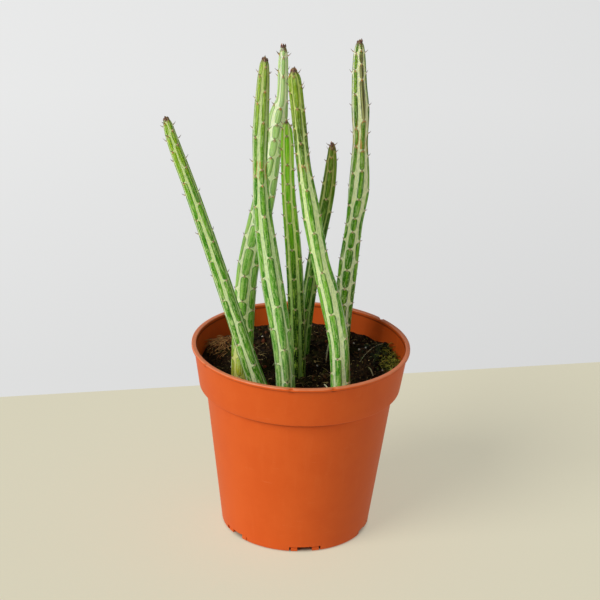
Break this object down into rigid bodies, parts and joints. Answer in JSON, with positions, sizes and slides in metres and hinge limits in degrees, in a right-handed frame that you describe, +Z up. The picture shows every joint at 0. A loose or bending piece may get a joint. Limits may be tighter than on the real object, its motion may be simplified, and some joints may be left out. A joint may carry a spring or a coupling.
{
  "type": "potted pickle plant",
  "caption": "Succulent with slender six-ribbed green stems of long leaf-base cells with small spines, standing in peat in a terracotta-coloured moulded plastic nursery pot.",
  "frame": {"origin": "on the floor, under the middle of the outline of the whole plant with its pot", "axes": "+Z up along the pot's axis, -Y towards the front, +X to the right seen from the front"},
  "size_m": [0.123, 0.108, 0.249],
  "materials": {
    "pot": "satin",
    "peat": "matte",
    "stem": "satin"
  },
  "bodies": {
    "root": {"pot": "pot", "peat": "peat", "stem_leaning_left": "stem", "stem_tall_left": "stem", "stem_tall_back": "stem", "stem_tall_front": "stem", "stem_middle": "stem", "stem_short_back": "stem", "stem_tall_right": "stem"}
  },
  "joints": []
}
